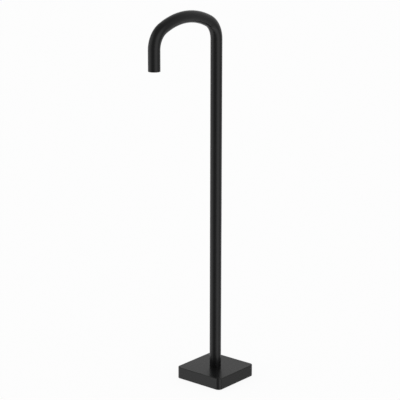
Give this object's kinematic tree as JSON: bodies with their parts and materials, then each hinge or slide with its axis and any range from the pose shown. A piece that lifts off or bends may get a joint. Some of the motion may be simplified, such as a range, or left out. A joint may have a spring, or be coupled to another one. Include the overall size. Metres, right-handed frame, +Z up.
{
  "type": "floor standing bath filler",
  "caption": "Slim round column that bends over in an arch to a downward outlet, on a square base cover with rounded corners that hides a round floor flange.",
  "frame": {"origin": "centre of the floor bolt circle on the column's axis, in the floor plane under the flange", "axes": "+Z up along the column, -Y forward to the outlet, +X across"},
  "size_m": [0.154, 0.343, 1.045],
  "materials": {
    "black_finish": "satin black coating on stainless steel",
    "stainless_steel": "plain stainless steel",
    "brass": "turned brass",
    "seal_rubber": "smooth black rubber",
    "black_plastic": "moulded black plastic",
    "inner_plastic": "moulded off-white plastic"
  },
  "bodies": {
    "floor_base": {"floor_flange": "stainless_steel", "inlet_foot": "brass", "foot_screws": "stainless_steel", "spigot_stem": "brass", "inlet_seal": "seal_rubber", "inlet_sieve": "stainless_steel", "regulator_body": "inner_plastic", "regulator_ring": "seal_rubber", "regulator_clip": "stainless_steel", "stem_seal_lower": "seal_rubber", "stem_seal_upper": "seal_rubber"},
    "column": {"spout_tube": "black_finish", "column_sleeve": "brass", "column_set_screws": "stainless_steel", "outlet_bush": "brass"},
    "cover_ring": {"cover_seal": "seal_rubber"},
    "cover": {"base_cover": "black_finish"},
    "aerator_ring": {"aerator_washer": "seal_rubber"},
    "aerator": {"aerator_cage": "black_plastic", "aerator_straightener": "black_plastic", "aerator_screen_lower": "stainless_steel", "aerator_screen_upper": "stainless_steel", "aerator_diffuser": "inner_plastic", "aerator_sieve_dome": "inner_plastic"}
  },
  "joints": [
    {"name": "column_turn", "type": "hinge", "parent": "floor_base", "child": "column", "pos_m": [0, 0, 0.016], "axis": [0, 0, 1], "continuous": true},
    {"name": "cover_lift", "type": "slide", "parent": "column", "child": "cover_ring", "axis": [0, 0, 1], "range_m": [0, 0.92]},
    {"name": "cover_turn", "type": "hinge", "parent": "cover_ring", "child": "cover", "pos_m": [0, 0, 0.0265], "axis": [0, 0, 1], "continuous": true},
    {"name": "aerator_travel", "type": "slide", "parent": "column", "child": "aerator_ring", "axis": [0, 0, -1], "range_m": [0, 0.005]},
    {"name": "aerator_turn", "type": "hinge", "parent": "aerator_ring", "child": "aerator", "pos_m": [0, -0.25, 0.905], "axis": [0, 0, -1], "range_deg": [0, 1800]}
  ],
  "couplings": [
    {"joint": "aerator_travel", "follows": "aerator_turn", "m_per_rad": 0.00015915}
  ]
}
